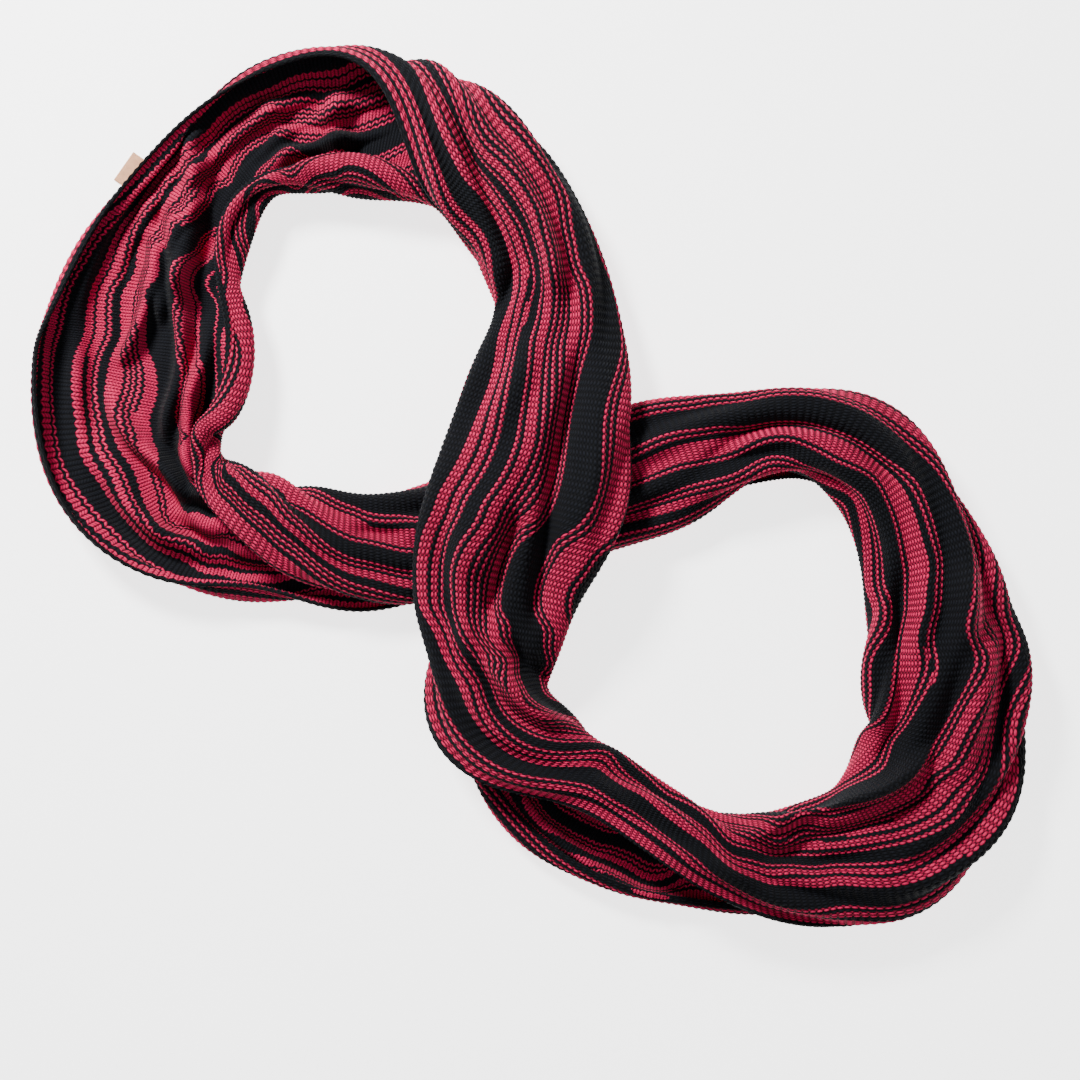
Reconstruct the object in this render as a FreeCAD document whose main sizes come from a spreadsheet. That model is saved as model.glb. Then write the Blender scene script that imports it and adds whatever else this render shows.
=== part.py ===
"""Long knitted loop scarf (neck gaiter) laid down in a figure of eight, with a small leather label.

Millimetres, +Z up. The origin is the middle of the scarf's outline on the surface that it lies on.
The band is a wide knitted loop that curls into a soft flattened tube. The route goes up the upper
layer of the crossing, round the left loop, through the lower layer and round the right loop.
"""

import FreeCAD
import Part
import os

SHEET = "Sizes"

# One row for each place where the tube's section is set, in order along the route:
# name, x, y, half the width, half the height, and height of the underside.
STATIONS = [
    ("crossing_upper_low", -20, -67, 46, 16, 16),
    ("crossing_upper_middle", -6, -12, 61, 15, 26),
    ("crossing_upper_high", 8, 48, 54, 16, 19),
    ("left_shoulder", 13, 103, 38, 19, 0),
    ("left_shoulder_bend", -6, 152, 36, 20, 0),
    ("left_top_start", -42, 192, 39, 20, 0),
    ("left_top_middle", -98, 211, 46, 21, 0),
    ("left_top_end", -154, 206, 41, 21, 0),
    ("left_corner", -193, 177, 42, 21, 0),
    ("left_side_high", -212, 130, 50, 22, 0),
    ("left_side_middle", -221, 78, 65, 22, 0),
    ("left_side_low", -224, 30, 59, 22, 0),
    ("left_bottom_corner", -204, -9, 47, 21, 0),
    ("left_bottom", -163, -24, 37, 19, 0),
    ("left_bottom_end", -117, -33, 33, 16, 0),
    ("crossing_lower_start", -68, -31, 36, 12, 0),
    ("crossing_lower_middle", -4, -15, 40, 11, 0),
    ("crossing_lower_end", 60, 8, 42, 12, 0),
    ("right_top_start", 106, 26, 32, 17, 0),
    ("right_top", 152, 34, 26, 20, 0),
    ("right_corner", 196, 12, 31, 20, 0),
    ("right_side_high", 223, -42, 38, 20, 0),
    ("right_side_middle", 232, -98, 50, 20, 0),
    ("right_side_low", 232, -150, 54, 20, 0),
    ("right_bottom_corner", 200, -198, 47, 19, 0),
    ("right_bottom_right", 152, -217, 40, 19, 0),
    ("right_bottom_middle", 100, -221, 35, 19, 0),
    ("right_bottom_left", 51, -205, 39, 19, 0),
    ("right_rise", 5, -170, 41, 19, 0),
    ("right_shoulder", -25, -124, 37, 18, 1),
]

# Each stretch of the band is one solid, from its first station to its last.
STRETCHES = [
    ("band_crossing_upper_layer", "crossing_upper_low", "left_shoulder"),
    ("band_left_loop_shoulder", "left_shoulder", "left_top_start"),
    ("band_left_loop_top", "left_top_start", "left_corner"),
    ("band_left_loop_side", "left_corner", "left_bottom_corner"),
    ("band_left_loop_bottom", "left_bottom_corner", "crossing_lower_start"),
    ("band_crossing_lower_layer", "crossing_lower_start", "crossing_lower_end"),
    ("band_right_loop_top", "crossing_lower_end", "right_corner"),
    ("band_right_loop_side", "right_corner", "right_bottom_corner"),
    ("band_right_loop_bottom", "right_bottom_corner", "right_bottom_left"),
    ("band_right_loop_shoulder", "right_bottom_left", "crossing_upper_low"),
]

# Where the tube lies open on top: the fold's name, how far it is set to the right of the route as a
# share of the half width, and its depth at each station as a share of the half height.
FOLDS = [
    (
        "left_loop",
        0.05,
        {
            "left_shoulder_bend": -0.1,
            "left_top_start": 0.3,
            "left_top_middle": 0.8,
            "left_top_end": 0.9,
            "left_corner": 0.95,
            "left_side_high": 1.0,
            "left_side_middle": 1.0,
            "left_side_low": 1.0,
            "left_bottom_corner": 0.8,
            "left_bottom": 0.3,
            "left_bottom_end": -0.1,
        },
    ),
    (
        "right_loop",
        -0.25,
        {
            "right_bottom_right": -0.1,
            "right_bottom_middle": 0.5,
            "right_bottom_left": 0.8,
            "right_rise": 0.6,
            "right_shoulder": -0.1,
        },
    ),
]

DIMENSIONS = {
    # how much of the half height the surface flattens at the bottom of a section
    "floor_flat_share": 0.16,
    # the open fold: its width as a share of the half width, and how far above the top its middle is
    "fold_width_share": 0.6,
    "fold_raise_share": 0.2,
    # a block below the surface, which flattens the underside
    "floor_block_length": 700,
    "floor_block_width": 700,
    "floor_block_depth": 60,
    # the leather label, which lies flat under the outer edge of the left loop
    "label_width": 20,
    "label_thickness": 1.4,
    "label_sewn_length": 12,
    "label_free_length": 8,
    "label_hinge_gap": 0.3,
    "label_hinge_x": -235,
    "label_hinge_y": 186,
    "label_turn": 145,
    # the thread that holds the label
    "thread_radius": 0.45,
    "thread_stitch_length": 2.6,
    "thread_pitch": 4,
    "thread_count": 4,
    "thread_line_setback": 4,
}


def write_sheet(doc):
    """Fills the spreadsheet with every driving size, one named cell each."""
    sheet = doc.addObject("Spreadsheet::Sheet", SHEET)
    cells = dict(DIMENSIONS)
    for name, x, y, half_width, half_height, lift in STATIONS:
        cells[name + "_x"] = x
        cells[name + "_y"] = y
        cells[name + "_half_width"] = half_width
        cells[name + "_half_height"] = half_height
        cells[name + "_lift"] = lift
    for fold, side, depths in FOLDS:
        cells[fold + "_fold_side"] = side
        for name, depth in depths.items():
            cells[name + "_fold_depth"] = depth
    for row, (alias, value) in enumerate(cells.items(), start=1):
        sheet.set(f"A{row}", alias)
        sheet.set(f"B{row}", str(value))
        sheet.setAlias(f"B{row}", alias)
    doc.recompute()
    return sheet


def bind(thing, **expressions):
    """Ties properties to the sheet; in a name, two underscores stand for a dot."""
    for name, expression in expressions.items():
        thing.setExpression(name.replace("__", "."), expression)


def section_turn(number):
    """Stands a section upright across the route: its X to the right of the way along, its Y up."""
    before = STATIONS[number - 1]
    after = STATIONS[(number + 1) % len(STATIONS)]
    along = FreeCAD.Vector(after[1] - before[1], after[2] - before[2], 0).normalize()
    right = FreeCAD.Vector(along.y, -along.x, 0)
    return FreeCAD.Rotation(right, FreeCAD.Vector(0, 0, 1), along * -1, "XYZ")


def band_section(doc, number):
    """The oval outline of the soft tube at one station."""
    name = STATIONS[number][0]
    oval = doc.addObject("Part::Ellipse", "Section_" + name)
    oval.Placement = FreeCAD.Placement(FreeCAD.Vector(), section_turn(number))
    bind(
        oval,
        MajorRadius=f"{SHEET}.{name}_half_width",
        MinorRadius=f"{SHEET}.{name}_half_height",
        Placement__Base__x=f"{SHEET}.{name}_x",
        Placement__Base__y=f"{SHEET}.{name}_y",
        Placement__Base__z=f"{SHEET}.{name}_lift + {SHEET}.{name}_half_height"
        f" * (1 - {SHEET}.floor_flat_share)",
    )
    return oval


def fold_section(doc, fold, number):
    """The oval that is cut out of the top at one station where the tube lies open."""
    name = STATIONS[number][0]
    turn = section_turn(number)
    right = turn.multVec(FreeCAD.Vector(1, 0, 0))
    aside = f"{SHEET}.{fold}_fold_side * {SHEET}.{name}_half_width"
    oval = doc.addObject("Part::Ellipse", "Fold_" + name)
    oval.Placement = FreeCAD.Placement(FreeCAD.Vector(), turn)
    bind(
        oval,
        MajorRadius=f"{SHEET}.{name}_half_width * {SHEET}.fold_width_share",
        MinorRadius=f"{SHEET}.{name}_half_height"
        f" * ({SHEET}.{name}_fold_depth + {SHEET}.fold_raise_share)",
        Placement__Base__x=f"{SHEET}.{name}_x + {right.x} * {aside}",
        Placement__Base__y=f"{SHEET}.{name}_y + {right.y} * {aside}",
        Placement__Base__z=f"{SHEET}.{name}_lift + {SHEET}.{name}_half_height"
        f" * (2 - {SHEET}.floor_flat_share + {SHEET}.fold_raise_share)",
    )
    return oval


def loft(doc, name, sections):
    """A closed solid through a row of outlines."""
    solid = doc.addObject("Part::Loft", name)
    solid.Sections = sections
    solid.Solid = True
    return solid


def cut(doc, name, base, tool):
    """Takes one solid away from another."""
    result = doc.addObject("Part::Cut", name)
    result.Base = base
    result.Tool = tool
    return result


def build_band(doc):
    """The knitted band, as stretches that meet face to face."""
    floor = doc.addObject("Part::Box", "FloorBlock")
    bind(
        floor,
        Length=f"{SHEET}.floor_block_length",
        Width=f"{SHEET}.floor_block_width",
        Height=f"{SHEET}.floor_block_depth",
        Placement__Base__x=f"-{SHEET}.floor_block_length / 2",
        Placement__Base__y=f"-{SHEET}.floor_block_width / 2",
        Placement__Base__z=f"-{SHEET}.floor_block_depth",
    )
    names = [station[0] for station in STATIONS]
    ovals = [band_section(doc, number) for number in range(len(STATIONS))]
    openings = {}
    for fold, _, depths in FOLDS:
        sections = [fold_section(doc, fold, names.index(name)) for name in depths]
        openings[fold] = (loft(doc, "Opening_" + fold, sections), set(depths))
    pieces = []
    for label, first, last in STRETCHES:
        start = names.index(first)
        end = names.index(last)
        if end <= start:
            end += len(STATIONS)
        run = [number % len(STATIONS) for number in range(start, end + 1)]
        solid = loft(doc, "Loft_" + label, [ovals[number] for number in run])
        solid = cut(doc, "Flat_" + label, solid, floor)
        for fold, (opening, places) in openings.items():
            if len(places.intersection(names[number] for number in run)) > 1:
                solid = cut(doc, f"Open_{fold}_{label}", solid, opening)
        solid.Label = label
        pieces.append(solid)
    return pieces


def build_label(doc):
    """The leather label: a part sewn under the band's edge, a part that sticks out, and the thread."""
    turn = FreeCAD.Rotation(FreeCAD.Vector(0, 0, 1), DIMENSIONS["label_turn"])
    outward = turn.multVec(FreeCAD.Vector(1, 0, 0))
    across = turn.multVec(FreeCAD.Vector(0, 1, 0))

    def place(thing, along, aside, height):
        """Sets a piece by its distance outward from the hinge line, sideways, and up."""
        thing.Placement = FreeCAD.Placement(FreeCAD.Vector(), turn)
        bind(
            thing,
            Placement__Base__x=f"{SHEET}.label_hinge_x + ({along}) * {outward.x} + ({aside}) * {across.x}",
            Placement__Base__y=f"{SHEET}.label_hinge_y + ({along}) * {outward.y} + ({aside}) * {across.y}",
            Placement__Base__z=height,
        )

    pieces = []
    leaves = (
        ("label_sewn_part", "label_sewn_length", f"-{SHEET}.label_sewn_length"),
        ("label_free_part", "label_free_length", f"{SHEET}.label_hinge_gap"),
    )
    for label, length, start in leaves:
        leaf = doc.addObject("Part::Box", "Leaf_" + label)
        bind(
            leaf,
            Length=f"{SHEET}.{length}",
            Width=f"{SHEET}.label_width",
            Height=f"{SHEET}.label_thickness",
        )
        place(leaf, start, f"-{SHEET}.label_width / 2", "0")
        leaf.Label = label
        pieces.append(leaf)
    stitches = []
    for number in range(DIMENSIONS["thread_count"]):
        stitch = doc.addObject("Part::Box", f"Stitch_{number + 1}")
        bind(
            stitch,
            Length=f"2 * {SHEET}.thread_radius",
            Width=f"{SHEET}.thread_stitch_length",
            Height=f"{SHEET}.thread_radius",
        )
        place(
            stitch,
            f"-{SHEET}.thread_line_setback - {SHEET}.thread_radius",
            f"({number} - ({SHEET}.thread_count - 1) / 2) * {SHEET}.thread_pitch"
            f" - {SHEET}.thread_stitch_length / 2",
            f"{SHEET}.label_thickness",
        )
        stitches.append(stitch)
    thread = doc.addObject("Part::Compound", "Thread")
    thread.Links = stitches
    thread.Label = "label_stitches"
    pieces.append(thread)
    return pieces


def check(doc, pieces):
    """Stops if any object failed to recompute, or if a sub-part isn't a sound solid."""
    for thing in doc.Objects:
        if "Invalid" in thing.State or "Error" in thing.State:
            raise RuntimeError(f"{thing.Name} failed: {thing.State}")
    for piece in pieces:
        if piece.Shape.isNull() or not piece.Shape.isValid() or piece.Shape.Volume <= 0:
            raise RuntimeError(f"{piece.Label} is not a sound solid")


def main():
    doc = FreeCAD.newDocument("LoopScarf")
    write_sheet(doc)
    pieces = build_band(doc) + build_label(doc)
    doc.recompute()
    check(doc, pieces)
    os.makedirs("parts", exist_ok=True)
    box = FreeCAD.BoundBox()
    for piece in pieces:
        piece.Shape.exportStep(os.path.join("parts", piece.Label + ".step"))
        box.add(piece.Shape.optimalBoundingBox())
        print(piece.Label, len(piece.Shape.Solids), "solid(s),", round(piece.Shape.Volume), "mm3")
    print("box", box)


main()
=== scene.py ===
"""Looks of the long knitted loop scarf, laid in a figure of eight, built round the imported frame.

The band is one continuous grid of stitches. Its middle surface follows the route of the flattened
tube, with soft folds and edges that roll in. Each side then gets its own stitch relief: plain knit
inside the tube, purl outside. Metres, +Z up.
"""

import math

import bmesh
import bpy
import numpy as np
from mathutils import Matrix, Vector


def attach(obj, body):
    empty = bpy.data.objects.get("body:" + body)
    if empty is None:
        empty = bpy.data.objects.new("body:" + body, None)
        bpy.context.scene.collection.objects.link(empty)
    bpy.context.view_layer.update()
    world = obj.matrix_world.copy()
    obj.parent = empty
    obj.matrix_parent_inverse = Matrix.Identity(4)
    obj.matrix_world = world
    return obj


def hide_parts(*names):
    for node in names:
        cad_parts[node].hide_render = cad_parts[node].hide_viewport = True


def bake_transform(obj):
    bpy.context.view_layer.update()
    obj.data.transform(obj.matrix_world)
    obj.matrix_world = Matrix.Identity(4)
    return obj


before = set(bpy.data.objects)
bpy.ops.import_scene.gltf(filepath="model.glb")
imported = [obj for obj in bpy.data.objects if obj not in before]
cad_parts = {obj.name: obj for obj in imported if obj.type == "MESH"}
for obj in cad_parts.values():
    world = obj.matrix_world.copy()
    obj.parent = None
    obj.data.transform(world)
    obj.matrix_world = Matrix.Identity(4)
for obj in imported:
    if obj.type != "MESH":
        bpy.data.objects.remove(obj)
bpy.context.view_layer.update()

MM = 0.001

# ---------------------------------------------------------------- the knitting
WALES = 460                  # stitches round the loop
COURSES = 112                # rows of stitches across the band
KNIT_THICKNESS = 1.1 * MM    # between the two sides' lowest points
PURL_RELIEF = 0.85 * MM
KNIT_RELIEF = 0.75 * MM
EDGE_ROUNDING = 0.6          # how far a raw edge stands out, in thicknesses
EDGE_YARN = 0.2              # courses of yarn that go round a raw edge
EDGE_SPAN = 3                # rows that give the way the fabric heads at an edge
SAMPLES_PER_WALE = 4
SAMPLES_PER_COURSE = 2
ROWS = SAMPLES_PER_COURSE * (COURSES + 1)
FIRST_ROW = 0.5              # the purl dashes' tops lie half a course from the row lines
EDGE_ROW_STEP = 0.0004       # share of the width kept between rows that the edge would squeeze flat

# Courses of each colour across the band, black and red in turn, from the edge on the hole side of
# the left loop. The yarn changes where its length ran out, so the counts aren't whole.
STRIPES = [
    3.3, 1.2, 1.1, 0.9, 1.4, 5.6, 2.2, 0.8, 1.3, 1.1, 0.7, 1.2, 3.4, 2.8, 1.2, 0.7, 1.1, 0.9, 6.2,
    1.3, 0.8, 7.2, 1.1, 1.2, 0.9, 1.1, 10.6, 0.8, 1.3, 0.9, 1.2, 3.9, 0.8, 1.3, 0.7, 1.4, 0.9, 1.2,
    1.1, 2.6, 0.8, 1.1, 3.7, 1.1, 1.0, 2.2, 1.2, 3.1, 7.3, 1.2, 1.1, 2.2, 2.1, 3.4, 5.1,
]
RAMP_STOPS = 30              # a colour ramp takes 32

# ---------------------------------------------------------------- the laid shape
# One row for each station along the route: x, y, half width, half height, height of the underside
# (all mm), the way that the middle of the band faces round the tube, and how far round the tube the
# band reaches (degrees; 0 is to the right of the way along, 90 is up).
ROUTE = [
    ("crossing_upper_low", -20, -67, 46, 15, 16, 68, 345),
    ("crossing_upper_middle", -6, -12, 61, 14, 27, 70, 330),
    ("crossing_upper_high", 8, 48, 54, 15, 19, 60, 335),
    ("left_shoulder", 13, 103, 37, 18, 1, 42, 350),
    ("left_shoulder_bend", -6, 152, 35, 20, 0, 15, 345),
    ("left_top_start", -42, 192, 39, 21, 0, -15, 330),
    ("left_top_middle", -98, 211, 46, 21, 0, -78, 250),
    ("left_top_end", -153, 205, 38, 20, 0, -100, 224),
    ("left_corner", -190, 175, 34, 19, 0, -108, 212),
    ("left_side_high", -213, 130, 50, 20, 0, -104, 214),
    ("left_side_middle", -219, 78, 66, 22, 0, -97, 206),
    ("left_side_low", -227, 30, 56, 22, 0, -100, 212),
    ("left_bottom_corner", -205, -11, 43, 21, 0, -112, 230),
    ("left_bottom", -163, -24, 37, 20, 0, -130, 265),
    ("left_bottom_end", -117, -33, 32, 17, 0, -175, 320),
    ("crossing_lower_start", -68, -31, 35, 12, 0, -215, 350),
    ("crossing_lower_middle", -4, -15, 40, 10, 0, -230, 350),
    ("crossing_lower_end", 60, 8, 41, 12, 0, -228, 350),
    ("right_top_start", 106, 26, 31, 18, 0, -220, 350),
    ("right_top", 152, 34, 26, 20, 0, -215, 350),
    ("right_corner", 196, 12, 31, 20, 0, -222, 350),
    ("right_side_high", 223, -42, 37, 20, 0, -242, 345),
    ("right_side_middle", 232, -98, 50, 20, 0, -268, 335),
    ("right_side_low", 232, -150, 53, 20, 0, -288, 330),
    ("right_bottom_corner", 200, -198, 46, 20, 0, -322, 320),
    ("right_bottom_right", 152, -217, 40, 20, 0, -352, 285),
    ("right_bottom_middle", 100, -221, 36, 20, 0, -372, 215),
    ("right_bottom_left", 51, -206, 42, 20, 0, -385, 200),
    ("right_rise", 5, -171, 42, 20, 0, -380, 222),
    ("right_shoulder", -25, -124, 36, 18, 2, -342, 292),
]
TURN = 5                     # column of the facing, once the names are left off
FULL_TURN = 360
SPIRAL_STEP = 0.16           # how much further in one edge of the band lies than the other
SQUARENESS = 2.3             # 2 is an ellipse, more is a flatter tube
LOWEST_MIDDLE = 1.7          # mm from the ground to the middle of the fabric
NEAR_ROLL = 14               # mm of fabric rolled in along the first edge
FAR_ROLL = 3                 # mm along the other, which lies flatter
CURL_START_RADIUS = 6        # mm, where the roll leaves the tube
CURL_END_RADIUS = 3.6        # mm, at the very edge

# Soft folds: the side of the fabric that faces up there, the first and last station that they may
# touch, how far they rise and how wide they are (mm), and their line on the ground (mm).
FOLDS = [
    ("left_outer_ridge", "knit", 7, 10, 19, 5.5, [(-200, 223), (-199, 179), (-202, 135), (-206, 112)]),
    ("left_long_ridge", "knit", 7.5, 12.5, 21, 5,
     [(-216, 197), (-211, 165), (-208, 120), (-205, 93), (-207, 64), (-214, 42), (-217, 18)]),
    ("left_short_ridge", "knit", 8, 10.5, 14, 4, [(-228, 175), (-222, 142), (-218, 112), (-219, 98)]),
    ("left_hook", "knit", 8.5, 11.5, 13, 4,
     [(-231, 134), (-224, 118), (-227, 104), (-237, 84), (-247, 74)]),
    ("left_main_ridge", "knit", 9, 14.6, 24, 5.5,
     [(-188, 118), (-192, 79), (-200, 52), (-200, 27), (-194, 5), (-181, -17), (-161, -36), (-132, -49)]),
    ("left_low_ridge", "knit", 9.5, 14, 18, 5,
     [(-250, 66), (-244, 46), (-232, 28), (-211, 10), (-202, -7), (-187, -25), (-166, -42)]),
    ("left_outer_swell", "knit", 10, 13.5, 10, 9, [(-268, 36), (-245, 8), (-230, -15), (-203, -42)]),
    ("left_wall_ridge", "knit", 9, 13, 11, 5, [(-176, 100), (-176, 70), (-184, 44), (-183, 22)]),
    ("top_cross_ridge", "knit", 5.6, 8, 19, 5.5, [(-112, 190), (-118, 212), (-114, 236)]),
    ("top_cross_ridge_two", "knit", 5.6, 8, 13, 5, [(-140, 186), (-150, 208), (-158, 232)]),
    ("strand_valley", "purl", -1.5, 4, -14, 6, [(28, 94), (13, 24), (5, -28), (-4, -86)]),
    ("strand_swell", "purl", -0.5, 3.5, 6, 9.5, [(2, 94), (-16, 24), (-27, -28), (-34, -50)]),
    ("strand_right_swell", "purl", -0.5, 3.5, 4, 7, [(42, 94), (34, 24), (28, -28), (18, -60)]),
    ("shoulder_valley", "purl", 2.2, 5.6, -14, 5.5,
     [(-48, 222), (-33, 181), (-19, 146), (-13, 125), (-24, 98)]),
    ("shoulder_swell", "purl", 2.5, 5.6, 8, 6, [(-22, 200), (-6, 165), (8, 135), (10, 110)]),
    ("pocket", "purl", -1, 1.4, -14, 5.5, [(-11, -12), (-21, -45), (-28, -76)]),
    ("pleat", "purl", -2, 0.6, 12, 5.5, [(-50, -70), (-33, -92), (-10, -115), (16, -140)]),
    ("pleat_valley", "purl", -2, 0.4, -9, 4.5, [(-16, -88), (2, -106), (24, -128)]),
    ("lower_layer_fold", "purl", 14, 15.6, -6, 4.5, [(-105, -22), (-88, -24), (-72, -22)]),
    ("right_top_valley", "purl", 17.4, 21, -10, 4.5, [(89, 13), (129, 36), (176, 30), (212, -4)]),
    ("right_side_valley", "purl", 20.5, 24, -12, 6, [(203, -36), (208, -86), (205, -132), (192, -160)]),
    ("right_side_swell", "purl", 20.5, 24, 8, 8, [(236, -40), (246, -92), (240, -150)]),
    ("right_side_outer_valley", "purl", 20.5, 24.5, -8, 5.5,
     [(254, -50), (266, -100), (262, -150), (236, -196)]),
    ("right_lap", "purl", 23, 26.5, 14, 4.5, [(112, -198), (150, -181), (193, -168), (226, -146)]),
    ("right_lap_valley", "purl", 23, 26.5, -8, 4.5,
     [(120, -214), (158, -198), (200, -184), (240, -160)]),
    ("right_low_swell", "purl", 25, 29, 8, 6, [(20, -150), (48, -176), (86, -205), (130, -222)]),
    ("right_inside_ridge", "knit", 25, 29.5, 14, 4, [(-20, -165), (10, -198), (50, -226), (96, -244)]),
]
FADE_SHARE = 0.22            # of a fold's length at each end, where it comes down to nothing
FADE_STATIONS = 0.5          # how soon it comes down past its first and last station
EDGE_SHARE = 0.06            # of the band's width along the rolled edge, which no fold lifts
RIPPLES = 18                 # small waves all over the band
RIPPLE_HEIGHT = 0.85         # mm each
RIPPLE_SEED = 11
FEWEST_WAVES = 3             # of one ripple round the loop
MOST_WAVES = 14
WAVES_ACROSS = 10            # at most, from edge to edge, slanting either way
SMOOTHING = 3.2              # wales, how far the fabric evens the tube's shape out
FOLD_SMOOTHING = 1.2         # wales, and how far it evens the folds out
SECTION_SAMPLES = 260
TUBE_SAMPLES = 200
HEADING_SPAN = 4             # tube samples that give the way the fabric heads at an edge
ROLL_STEPS = 24
ROUTE_STEPS = 4000           # steps that measure the route's length
FOLD_STEPS = 48              # points along a fold's line
FACING_START = 0.05          # a fold lifts nothing where the fabric faces less far up than this,
FACING_END = 0.55            # and all it can from here on (1 is straight up)


def catmull(values, at, closed):
    """Smooth values at the places in at, counted in rows of values."""
    count = len(values)
    index = np.floor(at).astype(int)
    t = (at - index).reshape((-1,) + (1,) * (values.ndim - 1))

    def row(offset):
        number = index + offset
        return values[number % count] if closed else values[np.clip(number, 0, count - 1)]

    a, b, c, d = row(-1), row(0), row(1), row(2)
    return 0.5 * (2 * b + (c - a) * t + (2 * a - 5 * b + 4 * c - d) * t**2 + (3 * b - a - 3 * c + d) * t**3)


def smooth_step(value, low, high):
    """0 below low, 1 above high, and smooth between them."""
    share = np.clip((value - low) / (high - low), 0, 1)
    return share * share * (3 - 2 * share)


def route_rows(count):
    """Route values at count evenly spaced places, starting at the first station."""
    table = np.array([row[1:] for row in ROUTE], float)
    number = len(table)
    # the facing goes once round the tube on the way, so it is smoothed with that taken off
    slope = -FULL_TURN / number
    table[:, TURN] -= slope * np.arange(number)
    dense = np.linspace(0, number, ROUTE_STEPS, endpoint=False)
    fine = catmull(table, dense, True)
    step = np.linalg.norm(np.roll(fine[:, :2], -1, axis=0) - fine[:, :2], axis=1)
    length = np.concatenate([[0], np.cumsum(step)])
    want = np.linspace(0, length[-1], count, endpoint=False)
    places = np.interp(want, length, np.append(dense, number))
    rows = catmull(table, places, True)
    rows[:, TURN] += slope * places
    return rows, places


def rolled_edge(start, heading, inward, roll):
    """Points of an edge's roll, from a point of the section, with its heading in radians."""
    radius = np.linspace(CURL_START_RADIUS, CURL_END_RADIUS, ROLL_STEPS)
    length = roll / ROLL_STEPS
    angle = heading + inward * np.cumsum(length / radius)
    return start + np.cumsum(length * np.stack([np.cos(angle), np.sin(angle)], axis=1), axis=0)


def section(wide, high, turn, reach):
    """The band's line across the tube, from edge to edge, as (to the right, up) in mm."""
    share = np.linspace(0, 1, TUBE_SAMPLES)
    angle = np.radians(turn + (share - 0.5) * reach)
    inward = 1 - SPIRAL_STEP * (1 - share)
    power = 2 / SQUARENESS
    side = wide * inward * np.sign(np.cos(angle)) * np.abs(np.cos(angle)) ** power
    up = high * inward * np.sign(np.sin(angle)) * np.abs(np.sin(angle)) ** power
    tube = np.stack([side, up], axis=1)
    first = tube[0] - tube[HEADING_SPAN]
    last = tube[-1] - tube[-1 - HEADING_SPAN]
    start_roll = rolled_edge(tube[0], math.atan2(first[1], first[0]), -1, NEAR_ROLL)
    end_roll = rolled_edge(tube[-1], math.atan2(last[1], last[0]), 1, FAR_ROLL)
    return np.concatenate([start_roll[::-1], tube, end_roll])


def evenly(line, count):
    """count points spaced evenly along a line of points."""
    length = np.concatenate([[0], np.cumsum(np.linalg.norm(np.diff(line, axis=0), axis=1))])
    want = np.linspace(0, length[-1], count)
    return np.stack([np.interp(want, length, line[:, axis]) for axis in range(line.shape[1])], axis=1)


def surface_normals(grid):
    """Unit normals of a grid, pointing out of the tube."""
    along = np.gradient(grid, axis=0)
    across = np.gradient(grid, axis=1)
    normal = np.cross(along, across)
    return normal / np.linalg.norm(normal, axis=2, keepdims=True)


def loop_normals(grid):
    """Unit normals of a grid that closes on itself along its first direction."""
    padded = np.concatenate([grid[-2:], grid, grid[:2]])
    return surface_normals(padded)[2:-2]


def even_out(grid, wales):
    """Averages the grid along the band over about that many wales."""
    reach = int(math.ceil(3 * wales))
    weights = np.exp(-0.5 * (np.arange(-reach, reach + 1) / wales) ** 2)
    weights /= weights.sum()
    return sum(weight * np.roll(grid, offset - reach, axis=0) for offset, weight in enumerate(weights))


def fold_rise(points, normals, places, fold):
    """How far a fold lifts each point of the grid, in mm."""
    _, side, first, last, rise, width, line = fold
    line = np.array(line, float)
    just_short = len(line) - 1.001    # of the last point, which has none after it
    path = catmull(line, np.linspace(0, just_short, FOLD_STEPS), False)
    apart = points[:, :, None, :2] - path[None, None]
    distance = np.linalg.norm(apart, axis=3)
    nearest = distance.argmin(axis=2)
    distance = distance.min(axis=2)
    along = nearest / (len(path) - 1)
    ends = smooth_step(along, 0, FADE_SHARE) * smooth_step(1 - along, 0, FADE_SHARE)
    half_stations = len(ROUTE) / 2
    middle = (first + last) / 2
    from_middle = np.abs((places - middle + half_stations) % len(ROUTE) - half_stations)
    near = 1 - smooth_step(from_middle, (last - first) / 2, (last - first) / 2 + FADE_STATIONS)
    facing = normals[:, :, 2] if side == "purl" else -normals[:, :, 2]
    share = np.linspace(0, 1, SECTION_SAMPLES)
    off_edge = smooth_step(share, EDGE_SHARE, 2 * EDGE_SHARE)
    shape = np.exp(-((distance / width) ** 2)) * ends * near[:, None] * off_edge
    return rise * shape * smooth_step(facing, FACING_START, FACING_END)


def ripple(places, share):
    """Small long waves over the whole band, in mm."""
    draw = np.random.default_rng(RIPPLE_SEED)
    total = np.zeros((len(places), len(share)))
    for _ in range(RIPPLES):
        round_waves = draw.integers(FEWEST_WAVES, MOST_WAVES + 1)
        across_waves = draw.uniform(-WAVES_ACROSS, WAVES_ACROSS)
        phase = draw.uniform(0, 2 * math.pi)
        turn = 2 * math.pi * (round_waves * places[:, None] / len(ROUTE) + across_waves * share[None, :])
        total += RIPPLE_HEIGHT * np.sin(turn + phase)
    return total


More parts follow.
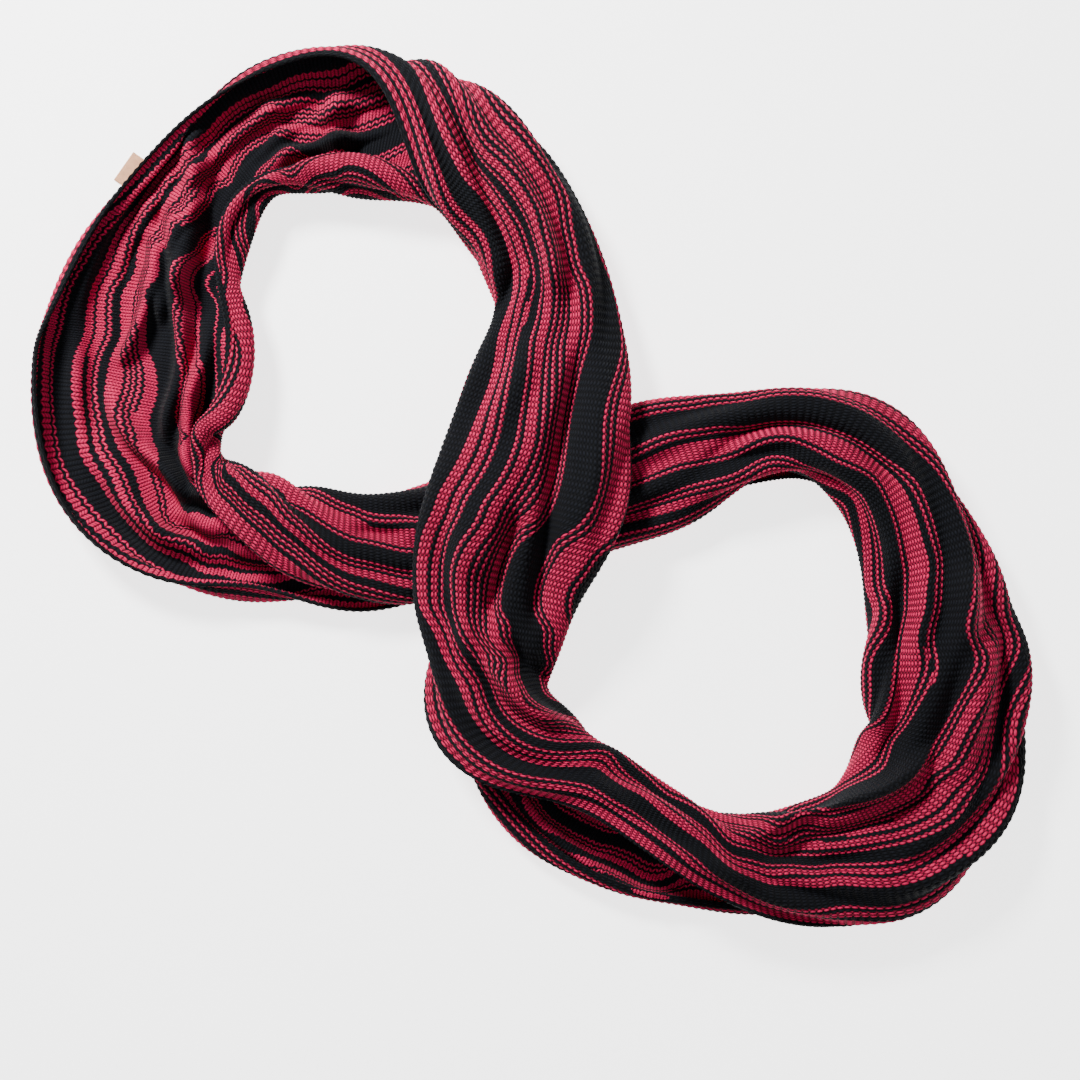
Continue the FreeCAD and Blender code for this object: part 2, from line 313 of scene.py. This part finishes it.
def middle_surface():
    """The middle of the fabric, a point in metres for each stitch, and each wale's station."""
    rows, places = route_rows(WALES)
    ahead = np.roll(rows[:, :2], -1, axis=0) - np.roll(rows[:, :2], 1, axis=0)
    ahead /= np.linalg.norm(ahead, axis=1)[:, None]
    right = np.stack([ahead[:, 1], -ahead[:, 0]], axis=1)
    grid = np.zeros((WALES, SECTION_SAMPLES, 3))
    for number, (x, y, wide, high, lift, turn, reach) in enumerate(rows):
        line = evenly(section(wide, high, turn, reach), SECTION_SAMPLES)
        grid[number, :, 0] = x + right[number, 0] * line[:, 0]
        grid[number, :, 1] = y + right[number, 1] * line[:, 0]
        grid[number, :, 2] = lift + high + line[:, 1]
    grid = even_out(grid, SMOOTHING)
    normals = loop_normals(grid)
    raised = sum(fold_rise(grid, normals, places, fold) for fold in FOLDS)
    waves = ripple(places, np.linspace(0, 1, SECTION_SAMPLES))
    grid[:, :, 2] += raised
    grid += normals * waves[:, :, None]
    grid = even_out(grid, FOLD_SMOOTHING)
    low = grid[:, :, 2] < LOWEST_MIDDLE
    grid[:, :, 2] = np.where(low, LOWEST_MIDDLE, grid[:, :, 2])
    even = np.stack([evenly(line, COURSES + 1) for line in grid])
    return even * MM, places


def row_shares(wale):
    """The sampled rows at a place round the loop, and how far across the band each lies (0 to 1)."""
    rows = FIRST_ROW + np.arange(ROWS) / SAMPLES_PER_COURSE
    # the rows climb by one course round the loop, as circular knitting does
    share = (rows - 1 + wale / WALES) / COURSES
    place = np.arange(ROWS) * EDGE_ROW_STEP
    return rows, np.clip(share, place, 1 - place[::-1])


# The purl side shows two bumps a stitch: how far along the course and up it they sit, half their
# length and height, and how high they stand.
DASH = (0.0, 0.5, 0.47, 0.44, 1.0)
LINK = (0.5, 0.0, 0.32, 0.34, 0.40)
# The knit side shows two slanted legs a stitch.
LEG_SLANT = 1.0              # courses that a leg climbs
LEG_FULLNESS = 0.7           # under 1 makes a leg's top broader
LEG_LEVEL = 0.68             # a leg's mean height
LEG_WAVE = 0.32              # how much it rises and falls along itself


def purl_relief(wale, row):
    """Height of the purl side's bumps, from 0 to 1."""
    def bumps(column_shift, row_shift, half_length, half_height, top):
        across = wale - column_shift - np.round(wale - column_shift)
        along = row - row_shift - np.round(row - row_shift)
        return top * (1 - (across / half_length) ** 2 - (along / half_height) ** 2)
    return np.clip(np.maximum(bumps(*DASH), bumps(*LINK)), 0, 1)


def knit_relief(wale, row):
    """Height of the knit side's legs, from 0 to 1."""
    place = wale - np.floor(wale)
    leg = np.abs(np.sin(2 * math.pi * place)) ** LEG_FULLNESS
    slanted = row - LEG_SLANT * np.abs(2 * place - 1)
    return leg * (LEG_LEVEL + LEG_WAVE * np.cos(2 * math.pi * (slanted - 0.25)))


def stitched_sides(middle):
    """Both sides of the fabric at every sample, with the stitch coordinates of each."""
    wale = np.arange(-1, WALES * SAMPLES_PER_WALE + 2) / SAMPLES_PER_WALE
    coarse = catmull(middle, wale % WALES, True)
    fine = np.zeros((len(wale), ROWS, 3))
    row = np.zeros((len(wale), ROWS))
    for number, place in enumerate(wale):
        row[number], share = row_shares(place)
        fine[number] = catmull(coarse[number], share * COURSES, False)
    normals = surface_normals(fine)
    column = np.broadcast_to(wale[:, None], row.shape)
    half = KNIT_THICKNESS / 2
    outside = fine + normals * (half + PURL_RELIEF * purl_relief(column, row))[:, :, None]
    inside = fine - normals * (half + KNIT_RELIEF * knit_relief(column, row))[:, :, None]
    return outside, inside, column, row


def rings(outside, inside):
    """Closed rings round the fabric: up the outside, over one edge, down the inside, over the other."""
    def edge(here, next_in, other):
        middle = (here + other) / 2
        away = middle - next_in
        away /= np.linalg.norm(away, axis=1, keepdims=True)
        return middle + away * KNIT_THICKNESS * EDGE_ROUNDING
    middle_line = (outside + inside) / 2
    far = edge(outside[:, -1], middle_line[:, -1 - EDGE_SPAN], inside[:, -1])
    near = edge(outside[:, 0], middle_line[:, EDGE_SPAN], inside[:, 0])
    return np.concatenate([outside, far[:, None], inside[:, ::-1], near[:, None]], axis=1)


def ring_normals(ring):
    """Unit normals of the closed rings, from the points before and after each."""
    along = np.gradient(ring, axis=0)
    across = np.roll(ring, -1, axis=1) - np.roll(ring, 1, axis=1)
    normal = np.cross(along, across)
    return normal / np.linalg.norm(normal, axis=2, keepdims=True)


# ---------------------------------------------------------------- material nodes
def node(tree, kind, **settings):
    """A new node with its settings."""
    made = tree.nodes.new(kind)
    for name, value in settings.items():
        setattr(made, name, value)
    return made


class Value:
    """A number in a material's nodes, so that a pattern's formula reads as one."""

    def __init__(self, tree, socket):
        self.tree = tree
        self.socket = socket

    def maths(self, operation, *others):
        made = node(self.tree, "ShaderNodeMath", operation=operation)
        for slot, value in enumerate((self,) + others):
            if isinstance(value, Value):
                self.tree.links.new(value.socket, made.inputs[slot])
            else:
                made.inputs[slot].default_value = value
        return Value(self.tree, made.outputs[0])

    def __add__(self, other):
        return self.maths("ADD", other)

    def __sub__(self, other):
        return self.maths("SUBTRACT", other)

    def __mul__(self, other):
        return self.maths("MULTIPLY", other)

    def __truediv__(self, other):
        return self.maths("DIVIDE", other)

    def nearest(self):
        return self.maths("ROUND")

    def whole(self):
        return self.maths("FLOOR")

    def fraction(self):
        return self.maths("FRACT")

    def distance(self):
        return self.maths("ABSOLUTE")

    def squared(self):
        return self * self

    def above(self, other):
        return self.maths("GREATER_THAN", other)

    def highest(self, other):
        return self.maths("MAXIMUM", other)

    def lowest(self, other):
        return self.maths("MINIMUM", other)

    def choose(self, first, second):
        """second where this is 1, first where it is 0."""
        return first + (second - first) * self


def noise(tree, vector, scale, detail, roughness=0.5):
    """Fractal noise from 0 to 1; scale is in waves to the metre."""
    made = node(tree, "ShaderNodeTexNoise")
    made.inputs["Scale"].default_value = scale
    made.inputs["Detail"].default_value = detail
    made.inputs["Roughness"].default_value = roughness
    tree.links.new(vector, made.inputs["Vector"])
    return Value(tree, made.outputs["Fac"])


def mixed(tree, factor, first, second):
    """A colour between two, each a socket or a plain colour."""
    made = node(tree, "ShaderNodeMix", data_type="RGBA")
    # a Mix node's colour sockets are the seventh and the eighth, and its result the third
    for value, slot in ((factor.socket, 0), (first, 6), (second, 7)):
        if isinstance(value, tuple):
            made.inputs[slot].default_value = value
        else:
            tree.links.new(value, made.inputs[slot])
    return made.outputs[2]


def red_stripes(tree, yarn):
    """1 where the yarn is red at that many courses along, 0 where it is black."""
    starts = np.concatenate([[0], np.cumsum(STRIPES)])
    result = None
    for first in range(0, len(STRIPES), RAMP_STOPS):
        last = min(first + RAMP_STOPS, len(STRIPES))
        begin, end = starts[first], starts[last]
        place = (yarn - float(begin)) / float(end - begin)
        ramp = node(tree, "ShaderNodeValToRGB")
        ramp.color_ramp.interpolation = "CONSTANT"
        tree.links.new(place.socket, ramp.inputs["Fac"])
        stops = ramp.color_ramp.elements
        for number in range(first, last):
            shade = float(number % 2)
            position = float((starts[number] - begin) / (end - begin))
            if number - first < 2:
                stop = stops[number - first]
                stop.position = position
            else:
                stop = stops.new(position)
            stop.color = (shade, shade, shade, 1)
        value = Value(tree, ramp.outputs["Color"])
        result = value if result is None else yarn.above(float(begin)).choose(result, value)
    return result


# Each yarn has a lit tone for painted highlight on stitch tops and a shaded one for painted shade; the gaps
# get near-black painted shade
RED_LIT_LIGHTER_TONE = (0.95, 0.026, 0.145, 1)
RED_SHADED_DARKER_TONE = (0.31, 0.005, 0.036, 1)
RED_PAINTED_GAP_SHADE = (0.018, 0.002, 0.005, 1)
BLACK_LIT_LIGHTER_TONE = (0.0085, 0.0100, 0.0150, 1)
BLACK_SHADED_DARKER_TONE = (0.0016, 0.0019, 0.0032, 1)
BLACK_PAINTED_GAP_SHADE = (0.0006, 0.0007, 0.0012, 1)


def new_material(name):
    """A fresh material, with its nodes and its shader."""
    material = bpy.data.materials.new(name)
    material.use_nodes = True
    tree = material.node_tree
    return material, tree, tree.nodes["Principled BSDF"]


def add_relief(tree, shader, height, strength, distance):
    """Fine relief from a height in the nodes, the given distance deep."""
    relief = node(tree, "ShaderNodeBump")
    relief.inputs["Strength"].default_value = strength
    relief.inputs["Distance"].default_value = distance
    tree.links.new(height.socket, relief.inputs["Height"])
    tree.links.new(relief.outputs["Normal"], shader.inputs["Normal"])


def yarn_material(name, side):
    """Fine two-colour knitting seen from its purl or its knit side."""
    material, tree, shader = new_material(name)
    stitch = node(tree, "ShaderNodeUVMap", uv_map="Stitch")
    split = node(tree, "ShaderNodeSeparateXYZ")
    tree.links.new(stitch.outputs["UV"], split.inputs["Vector"])
    wale = Value(tree, split.outputs["X"])
    row = Value(tree, split.outputs["Y"])
    if side == "purl":
        def bump(column_shift, row_shift, half_length, half_height, top):
            column = (wale - column_shift).nearest()
            course = (row - row_shift).nearest()
            across = (wale - column_shift - column) / half_length
            along = (row - row_shift - course) / half_height
            rise = ((across.squared() + along.squared()) * -1 + 1) * top
            return rise, course + (column + column_shift) / WALES
        dash, dash_yarn = bump(*DASH)
        link, link_yarn = bump(*LINK)
        yarn = link.above(dash).choose(dash_yarn, link_yarn)
        height = dash.highest(link)
    else:
        place = wale.fraction()
        slanted = row - (place * 2 - 1).distance() * LEG_SLANT
        yarn = slanted.whole() + wale / WALES
        leg = ((place * 2).fraction() * 2 - 1).squared() * -1 + 1
        turn = ((slanted.fraction() * 2) - 1).squared() * -0.7 + 1
        height = leg * turn
    height = height.highest(0)
    position = node(tree, "ShaderNodeTexCoord").outputs["Object"]
    fibre = noise(tree, position, 1500, 3, 0.65)
    tone = noise(tree, position, 160, 3)
    wear = noise(tree, position, 14, 2)
    red = red_stripes(tree, yarn)
    # painted shade between the stitches and painted highlight on their tops, from the stitch height, and a
    # little uneven from place to place, as the yarn's own tone varies
    light = (height * 0.55 + fibre * 0.7 + tone * 0.4 + wear * 0.3 - 0.75).highest(0).lowest(1)
    clear_of_gap_shade = (height * 1.9 + fibre * 0.3 - 0.2).highest(0).lowest(1)
    lit_and_shaded_yarn = mixed(tree, red, mixed(tree, light, BLACK_SHADED_DARKER_TONE, BLACK_LIT_LIGHTER_TONE),
                        mixed(tree, light, RED_SHADED_DARKER_TONE, RED_LIT_LIGHTER_TONE))
    # painted shade: a near-black colour fills the gaps between the stitches
    painted_gap_shade = mixed(tree, red, BLACK_PAINTED_GAP_SHADE, RED_PAINTED_GAP_SHADE)
    colour = mixed(tree, clear_of_gap_shade, painted_gap_shade, lit_and_shaded_yarn)
    tree.links.new(colour, shader.inputs["Base Color"])
    rough = fibre * 0.2 + 0.72
    tree.links.new(rough.socket, shader.inputs["Roughness"])
    shader.inputs["Specular IOR Level"].default_value = 0.12
    shader.inputs["Sheen Weight"].default_value = 0.03
    shader.inputs["Sheen Roughness"].default_value = 0.45
    add_relief(tree, shader, height * 0.8 + fibre * 0.5, 0.9, 0.6 * MM)
    return material


# ---------------------------------------------------------------- the band's pieces
BAND_PIECES = [
    ("knit_crossing_upper", "band_crossing_upper_layer", 0, 3),
    ("knit_left_shoulder", "band_left_loop_shoulder", 3, 5),
    ("knit_left_top", "band_left_loop_top", 5, 8),
    ("knit_left_side", "band_left_loop_side", 8, 12),
    ("knit_left_bottom", "band_left_loop_bottom", 12, 15),
    ("knit_crossing_lower", "band_crossing_lower_layer", 15, 17),
    ("knit_right_top", "band_right_loop_top", 17, 20),
    ("knit_right_side", "band_right_loop_side", 20, 24),
    ("knit_right_bottom", "band_right_loop_bottom", 24, 27),
    ("knit_right_shoulder", "band_right_loop_shoulder", 27, 30),
]
TINY = 1e-6                  # keeps a station that lies on a wale on the right side of it
PURL_SLOT = 0
KNIT_SLOT = 1
# The baked picture holds the purl side's chart and the knit side's, side by side.
CHART_WIDTH = 0.49
CHART_MARGIN = 0.005
CHART_FOOT = 0.02            # of its height, below both charts, where the hidden cut ends go
STRIP_FEET = (0.002, 0.011)  # the two cut ends' strips
STRIP_HEIGHT = 0.006
CORNERS = 4                  # small triangles, two at each cut end, which share one spot
CORNER_SPOT = [(0.996, 0.002), (0.999, 0.002), (0.999, 0.008)]


def bake_layout(rows):
    """Places in the baked picture for every corner of a piece's faces, in the order of its faces."""
    step = CHART_WIDTH / (ROWS + 1)
    purl_start = CHART_MARGIN
    knit_start = 0.5 + CHART_MARGIN
    left = np.concatenate([purl_start + step * (1 + np.arange(ROWS)),
                           knit_start + step * np.arange(ROWS + 1), [purl_start]])
    low = CHART_FOOT + (1 - CHART_FOOT - CHART_MARGIN) * np.arange(rows) / (rows - 1)
    across, up = np.broadcast_arrays(left[None, :], low[:-1, None])
    rise = low[1] - low[0]
    walls = np.stack([across, up, across, up + rise, across + step, up + rise, across + step, up], axis=-1)
    spot = np.arange(ROWS - 1) / ROWS
    after = spot + 1 / ROWS
    parts = [walls.reshape(-1, 2)]
    for foot in STRIP_FEET:
        bottom = np.full(ROWS - 1, foot)
        top = bottom + STRIP_HEIGHT
        strip = np.stack([spot, bottom, after, bottom, after, top, spot, top], axis=-1)
        parts.append(strip.reshape(-1, 2))
    parts.append(np.array(CORNER_SPOT * CORNERS))
    return np.concatenate(parts)


def add_object(name, data):
    """An object that shows the mesh, camera or light."""
    made = bpy.data.objects.new(name, data)
    bpy.context.collection.objects.link(made)
    return made


def mesh_of(name, points, quads, triangles):
    """A mesh of these faces, and the number of the point at each of their corners."""
    mesh = bpy.data.meshes.new(name)
    mesh.vertices.add(len(points))
    mesh.vertices.foreach_set("co", points.reshape(-1).astype(np.float32))
    loops = np.concatenate([quads.reshape(-1), triangles.reshape(-1)])
    mesh.loops.add(len(loops))
    mesh.loops.foreach_set("vertex_index", loops.astype(np.int32))
    sizes = np.concatenate([np.full(len(quads), 4), np.full(len(triangles), 3)])
    mesh.polygons.add(len(sizes))
    starts = np.concatenate([[0], np.cumsum(sizes)[:-1]])
    mesh.polygons.foreach_set("loop_start", starts.astype(np.int32))
    mesh.update(calc_edges=True)
    return mesh, loops


def band_piece(name, ring, normals, stitch, materials):
    """A closed length of the band, two sides, two edges and two cut ends."""
    rows, around = ring.shape[:2]
    number = np.arange(rows * around).reshape(rows, around)
    after = np.roll(number, -1, axis=1)
    walls = np.stack([number[:-1], number[1:], after[1:], after[:-1]], axis=-1).reshape(-1, 4)
    # the cut ends close across the fabric's thickness, between a point and the one opposite it
    out = np.arange(ROWS)
    back = 2 * ROWS - out
    strips = np.stack([out[:-1], out[1:], back[1:], back[:-1]], axis=-1)
    corners = np.array([[ROWS - 1, ROWS, ROWS + 1], [2 * ROWS, 2 * ROWS + 1, 0]])
    last = (rows - 1) * around
    quads = np.concatenate([walls, strips, strips[:, ::-1] + last])
    triangles = np.concatenate([corners, corners[:, ::-1] + last])
    mesh, loops = mesh_of(name, ring.reshape(-1, 3), quads, triangles)
    side = np.full((rows - 1, around), PURL_SLOT)
    side[:, ROWS + 1:2 * ROWS] = KNIT_SLOT
    caps = np.full(len(mesh.polygons) - side.size, PURL_SLOT)
    slots = np.concatenate([side.reshape(-1), caps])
    mesh.polygons.foreach_set("material_index", slots.astype(np.int32))
    layer = mesh.uv_layers.new(name="Stitch")
    layer.data.foreach_set("uv", stitch.reshape(-1, 2)[loops].reshape(-1).astype(np.float32))
    bake = mesh.uv_layers.new(name="OFBake")
    bake.data.foreach_set("uv", bake_layout(rows).reshape(-1).astype(np.float32))
    mesh.validate()
    mesh.polygons.foreach_set("use_smooth", np.ones(len(slots), bool))
    mesh.normals_split_custom_set_from_vertices(normals.reshape(-1, 3))
    for material in materials:
        mesh.materials.append(material)
    return add_object(name, mesh)


def build_band():
    """The whole band, cut into lengths that each stand for one solid."""
    middle, places = middle_surface()
    outside, inside, column, row = stitched_sides(middle)
    ring = rings(outside, inside)
    normals = ring_normals(ring)
    stitch = np.stack([column, row], axis=2)
    far = stitch[:, -1:] + (0, EDGE_YARN)
    near = stitch[:, :1] - (0, EDGE_YARN)
    stitch = np.concatenate([stitch, far, stitch[:, ::-1], near], axis=1)
    materials = [yarn_material("knitted_purl_side", "purl"), yarn_material("knitted_plain_side", "knit")]
    for name, solid, first, last in BAND_PIECES:
        begin, end = (int(np.searchsorted(places, station - TINY)) for station in (first, last))
        run = slice(1 + begin * SAMPLES_PER_WALE, 2 + end * SAMPLES_PER_WALE)
        piece = band_piece(name, ring[run], normals[run], stitch[run], materials)
        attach(piece, "scarf")
        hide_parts(solid)


build_band()

# ---------------------------------------------------------------- the leather label
LABEL_HINGE = Vector((-0.235, 0.186, 0.0))
LABEL_OUTWARD = Vector((math.cos(math.radians(145)), math.sin(math.radians(145)), 0))
LABEL_ACROSS = Vector((-LABEL_OUTWARD.y, LABEL_OUTWARD.x, 0))
LABEL_WIDTH = 20 * MM
LABEL_SEWN = 12 * MM
LABEL_FREE = 8.3 * MM
LABEL_THICKNESS = 1.4 * MM
LABEL_EDGE = 0.32 * MM       # how much its edges are rounded
LABEL_SLICES = 22
THREAD_COUNT = 4
THREAD_PITCH = 4 * MM
THREAD_LENGTH = 2.6 * MM
THREAD_RADIUS = 0.45 * MM
THREAD_SETBACK = 4 * MM      # from the hinge, back under the rim
THREAD_RINGS = 24            # along one stitch
THREAD_CORNERS = 16          # round it
THREAD_TWIST = 0.12          # how deep the twist's grooves are, in radii
TWIST_TURN = 12              # radians that the twist turns along one stitch
THREAD_FLATNESS = 0.6        # its height for its width
LEATHER_DARK = (0.40, 0.17, 0.07, 1)
LEATHER_LIGHT = (0.78, 0.42, 0.22, 1)
THREAD_DARK = (0.30, 0.16, 0.08, 1)
THREAD_LIGHT = (0.66, 0.46, 0.28, 1)


def label_frame():
    """From the label's own directions (outward, across, up) to the ground's."""
    turn = Matrix((LABEL_OUTWARD, LABEL_ACROSS, Vector((0, 0, 1)))).transposed()
    return Matrix.Translation(LABEL_HINGE) @ turn.to_4x4()


def leather_material():
    """Tan leather: pores and creases, worn lighter here and there."""
    material, tree, shader = new_material("tan_leather")
    position = node(tree, "ShaderNodeTexCoord").outputs["Object"]
    pores = node(tree, "ShaderNodeTexVoronoi", feature="F1")
    pores.inputs["Scale"].default_value = 1800
    tree.links.new(position, pores.inputs["Vector"])
    pore = Value(tree, pores.outputs["Distance"])
    cloud = noise(tree, position, 260, 4)
    grain = noise(tree, position, 2600, 3)
    light = (cloud * 1.1 + grain * 0.35 + pore * 0.25 - 0.45).highest(0).lowest(1)
    colour = mixed(tree, light, LEATHER_DARK, LEATHER_LIGHT)
    tree.links.new(colour, shader.inputs["Base Color"])
    tree.links.new((cloud * 0.25 + 0.45).socket, shader.inputs["Roughness"])
    add_relief(tree, shader, pore * 0.6 + grain * 0.4 + cloud * 0.5, 0.5, 0.12 * MM)
    return material


def thread_material():
    """Waxed thread: pale tan, with darker fibres."""
    material, tree, shader = new_material("waxed_thread")
    position = node(tree, "ShaderNodeTexCoord").outputs["Object"]
    fibre = noise(tree, position, 3500, 3)
    colour = mixed(tree, fibre, THREAD_DARK, THREAD_LIGHT)
    tree.links.new(colour, shader.inputs["Base Color"])
    tree.links.new((fibre * 0.3 + 0.5).socket, shader.inputs["Roughness"])
    return material


def build_label():
    """One piece of leather with rounded edges, sliced finely across its hinge."""
    shape = bmesh.new()
    bmesh.ops.create_cube(shape, size=1)
    length = LABEL_SEWN + LABEL_FREE
    for vert in shape.verts:
        vert.co.x = vert.co.x * length + (LABEL_FREE - LABEL_SEWN) / 2
        vert.co.y *= LABEL_WIDTH
        vert.co.z = (vert.co.z + 0.5) * LABEL_THICKNESS
    bmesh.ops.bevel(shape, geom=shape.edges[:], offset=LABEL_EDGE, segments=3, profile=0.5, affect="EDGES")
    for number in range(1, LABEL_SLICES):
        place = number / LABEL_SLICES
        for plane, normal in (
            ((place * length - LABEL_SEWN, 0, 0), (1, 0, 0)),
            ((0, (place - 0.5) * LABEL_WIDTH, 0), (0, 1, 0)),
        ):
            bmesh.ops.bisect_plane(shape, geom=shape.verts[:] + shape.edges[:] + shape.faces[:],
                                   plane_co=plane, plane_no=normal, dist=1e-7)
    mesh = bpy.data.meshes.new("leather_label")
    shape.to_mesh(mesh)
    shape.free()
    for face in mesh.polygons:
        face.use_smooth = True
    mesh.transform(label_frame())
    mesh.materials.append(leather_material())
    label = add_object("leather_label", mesh)
    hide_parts("label_sewn_part", "label_free_part")
    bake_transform(label)


def build_thread():
    """Four short stitches across the label, each a low arch of twisted thread."""
    points = []
    faces = []
    for stitch in range(THREAD_COUNT):
        first = len(points)
        middle = (stitch - (THREAD_COUNT - 1) / 2) * THREAD_PITCH
        for ring_number in range(THREAD_RINGS + 1):
            share = ring_number / THREAD_RINGS
            along = (share - 0.5) * (THREAD_LENGTH - THREAD_RADIUS * 0.2)
            arch = math.sin(math.pi * share)
            for corner in range(THREAD_CORNERS):
                angle = 2 * math.pi * corner / THREAD_CORNERS
                twist = 1 + THREAD_TWIST * math.cos(2 * angle + TWIST_TURN * share)
                radius = THREAD_RADIUS * (0.25 + 0.75 * arch ** 0.5) * twist * 0.85
                height = THREAD_RADIUS * 0.15 + radius * THREAD_FLATNESS * math.sin(angle)
                points.append((-THREAD_SETBACK + radius * math.cos(angle), middle + along,
                               LABEL_THICKNESS + height))
        for ring_number in range(THREAD_RINGS):
            here = first + ring_number * THREAD_CORNERS
            next_ring = here + THREAD_CORNERS
            for corner in range(THREAD_CORNERS):
                after = (corner + 1) % THREAD_CORNERS
                faces.append((here + corner, here + after, next_ring + after, next_ring + corner))
        faces.append(tuple(range(first, first + THREAD_CORNERS)))
        end = first + THREAD_RINGS * THREAD_CORNERS
        faces.append(tuple(range(end + THREAD_CORNERS - 1, end - 1, -1)))
    mesh = bpy.data.meshes.new("label_thread")
    mesh.from_pydata(points, [], faces)
    for face in mesh.polygons:
        face.use_smooth = True
    mesh.transform(label_frame())
    mesh.materials.append(thread_material())
    thread = add_object("label_thread", mesh)
    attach(thread, "scarf")
    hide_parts("label_stitches")


build_label()
build_thread()

# ---------------------------------------------------------------- camera, floor and light
CAMERA_LENS = 60
SENSOR = 36
VIEW_WIDTH = 0.620           # what the picture takes in at the height of the object's middle
VIEW_MIDDLE_X = 0.0017
VIEW_MIDDLE_Y = -0.028
OBJECT_MIDDLE = 0.02         # its height
FLOOR_REACH = 3              # from the middle to each side
FLOOR_GLOW = 2.8             # lights the pale ground evenly, as a studio table does
WORLD_LIGHT = 0.36

camera = add_object("camera", bpy.data.cameras.new("camera"))
camera.data.lens = CAMERA_LENS
camera.data.sensor_width = SENSOR
view_distance = VIEW_WIDTH / SENSOR * CAMERA_LENS
camera.location = (VIEW_MIDDLE_X, VIEW_MIDDLE_Y, view_distance + OBJECT_MIDDLE)
bpy.context.scene.camera = camera

floor_mesh = bpy.data.meshes.new("floor")
floor_signs = ((-1, -1), (1, -1), (1, 1), (-1, 1))
floor_corners = [(x * FLOOR_REACH, y * FLOOR_REACH, 0) for x, y in floor_signs]
floor_mesh.from_pydata(floor_corners, [], [(0, 1, 2, 3)])
pale_floor, _, floor_shader = new_material("pale_floor")
floor_shader.inputs["Base Color"].default_value = (0.92, 0.92, 0.92, 1)
floor_shader.inputs["Roughness"].default_value = 0.8
floor_shader.inputs["Emission Color"].default_value = (1, 1, 1, 1)
floor_shader.inputs["Emission Strength"].default_value = FLOOR_GLOW
floor_mesh.materials.append(pale_floor)
floor = add_object("floor", floor_mesh)

for name, place, size, power in (
    ("window", (-0.60, 0.80, 0.9), 0.28, 42),
    ("fill", (0.8, -0.5, 1.3), 1.0, 4),
):
    light = bpy.data.lights.new(name, "AREA")
    light.energy = power
    light.size = size
    lamp = add_object(name, light)
    lamp.location = place
    lamp.rotation_euler = (-Vector(place)).to_track_quat("-Z", "Y").to_euler()
world = bpy.data.worlds.new("studio")
bpy.context.scene.world = world
world.use_nodes = True
world.node_tree.nodes["Background"].inputs[0].default_value = (1, 1, 1, 1)
world.node_tree.nodes["Background"].inputs[1].default_value = WORLD_LIGHT
